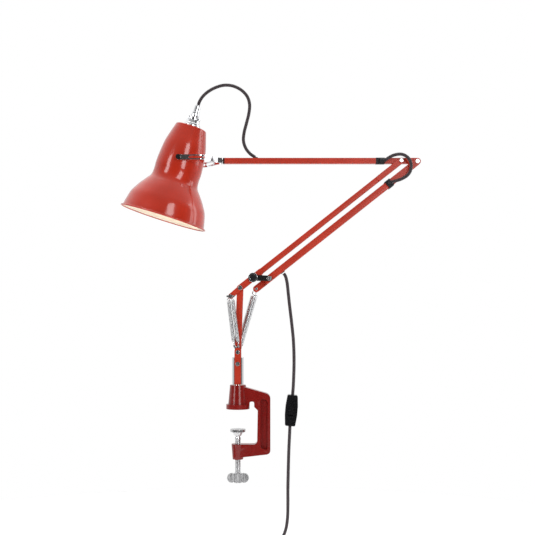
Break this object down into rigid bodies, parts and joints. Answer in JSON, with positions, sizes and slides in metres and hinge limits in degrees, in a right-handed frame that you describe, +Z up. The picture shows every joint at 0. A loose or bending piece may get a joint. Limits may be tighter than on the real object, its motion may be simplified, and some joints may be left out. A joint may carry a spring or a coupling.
{
  "type": "architect desk lamp",
  "caption": "Spring-balanced architect desk lamp: desk-edge clamp, turning post, parallelogram arms, forked bell shade and braided mains cable with switch and plug.",
  "frame": {"origin": "centre of the clamp's round upper jaw, on the desk surface, on the turning axis of the post", "axes": "+Z up along the post's turning axis, the arms lie in the XZ plane with the shade towards -X and the elbow towards +X"},
  "size_m": [0.5114, 0.15, 0.9222],
  "materials": {
    "arm_paint": "satin red enamel",
    "shade_paint": "gloss red enamel, cream inside",
    "clamp_paint": "gloss dark red enamel on a casting",
    "chrome_plate": "polished",
    "bright_steel": "zinc-bright",
    "spring_wire": "drawn wire",
    "bush_brass": "turned",
    "black_paint": "satin",
    "black_plastic": "satin",
    "rubber": "matt",
    "brown_plastic": "satin",
    "black_gloss": "gloss",
    "cable_braid": "woven textile braid",
    "tie_band": "hook-and-loop band",
    "bulb_metal": "bright",
    "bulb_glass": "opal"
  },
  "bodies": {
    "clamp": {"clamp_frame": "clamp_paint", "spindle_bush": "bush_brass"},
    "foot": {"clamp_foot": "bright_steel"},
    "screw": {"clamp_screw": "bright_steel", "screw_wing": "bright_steel"},
    "post": {"spindle": "chrome_plate", "spindle_block": "chrome_plate", "post_strip_front": "arm_paint", "post_strip_back": "arm_paint", "post_bolts": "bright_steel", "upright": "arm_paint", "lower_spring_yoke": "bright_steel", "front_spring_left": "spring_wire", "front_spring_right": "spring_wire", "rear_spring": "spring_wire", "mains_cord": "cable_braid", "mains_coil": "cable_braid", "coil_tie": "tie_band", "switch_case": "black_gloss", "plug_body": "rubber", "plug_pins": "bush_brass"},
    "rocker": {"switch_rocker": "black_gloss"},
    "main_bar": {"lever_plate_front": "arm_paint", "lever_plate_back": "arm_paint", "main_tube": "arm_paint", "main_pivot_bolt": "bright_steel", "upper_spring_yoke": "bright_steel", "link_pivot_bolt": "bright_steel", "link_pivot_ring": "chrome_plate", "link_pivot_cap": "black_plastic", "elbow_cheek_front": "arm_paint", "elbow_cheek_back": "arm_paint", "elbow_bolt": "bright_steel"},
    "link": {"link_front": "black_paint", "link_back": "black_paint"},
    "rear_bar": {"rear_tube": "arm_paint", "rear_lever": "arm_paint", "rear_link_bolt": "bright_steel", "rear_spring_pin": "bright_steel", "cable_outlet": "rubber"},
    "upper_arm": {"arm_tube": "arm_paint", "arm_end_plug": "brown_plastic", "upper_sleeve": "rubber", "arm_grommet": "rubber", "swivel_stud": "bright_steel", "elbow_cord": "cable_braid"},
    "rear_head": {"rear_head_cheeks": "arm_paint", "rear_head_block": "arm_paint", "rear_head_bolt": "bright_steel", "lower_sleeve": "rubber"},
    "fork": {"fork": "chrome_plate"},
    "shade": {"shade_pivot_bolts": "black_plastic", "shade": "shade_paint", "holder_skirt": "chrome_plate", "holder_ring": "chrome_plate", "cable_grip": "chrome_plate", "lampholder": "black_gloss", "bulb_base": "bulb_metal", "bulb_glass": "bulb_glass", "shade_cord": "cable_braid"}
  },
  "joints": [
    {"name": "screw_slide", "type": "slide", "parent": "clamp", "child": "foot", "axis": [0, 0, 1], "range_m": [-0.013, 0.022]},
    {"name": "screw_turn", "type": "hinge", "parent": "foot", "child": "screw", "pos_m": [0, 0, -0.08], "axis": [0, 0, 1], "range_deg": [-3125, 5285]},
    {"name": "post_turn", "type": "hinge", "parent": "clamp", "child": "post", "pos_m": [0, 0, 0.04], "axis": [0, 0, 1], "continuous": true},
    {"name": "switch_press", "type": "hinge", "parent": "post", "child": "rocker", "pos_m": [0.09129, -0.006, -0.0024], "axis": [0.9962, 0, -0.0872], "range_deg": [0, 12]},
    {"name": "main_lift", "type": "hinge", "parent": "post", "child": "main_bar", "pos_m": [0.004, 0, 0.2068], "axis": [0, -1, 0], "range_deg": [-35, 50], "deforming": ["front_spring_left", "front_spring_right", "rear_spring", "mains_cord"]},
    {"name": "elbow", "type": "hinge", "parent": "main_bar", "child": "upper_arm", "pos_m": [0.27867, 0, 0.42372], "axis": [0, -1, 0], "range_deg": [-75, 14], "deforming": ["elbow_cord"]},
    {"name": "link_turn", "type": "hinge", "parent": "main_bar", "child": "link", "pos_m": [0.02597, 0, 0.22415], "axis": [0, -1, 0], "range_deg": [-75, 14]},
    {"name": "rear_turn", "type": "hinge", "parent": "link", "child": "rear_bar", "pos_m": [0.05344, 0, 0.22271], "axis": [0, -1, 0], "range_deg": [-14, 75]},
    {"name": "rear_head_turn", "type": "hinge", "parent": "upper_arm", "child": "rear_head", "pos_m": [0.30613, 0, 0.42228], "axis": [0, -1, 0], "range_deg": [-14, 75]},
    {"name": "head_swivel", "type": "hinge", "parent": "upper_arm", "child": "fork", "pos_m": [-0.02563, 0, 0.42372], "axis": [1, 0, 0], "range_deg": [-90, 90], "deforming": ["shade_cord"]},
    {"name": "shade_tilt", "type": "hinge", "parent": "fork", "child": "shade", "pos_m": [-0.09763, 0, 0.42372], "axis": [0, -1, 0], "range_deg": [-40, 55]}
  ],
  "couplings": [
    {"joint": "screw_turn", "follows": "screw_slide", "rad_per_m": 4188.8},
    {"joint": "link_turn", "follows": "elbow", "ratio": 1},
    {"joint": "rear_turn", "follows": "elbow", "ratio": -1},
    {"joint": "rear_head_turn", "follows": "elbow", "ratio": -1}
  ]
}
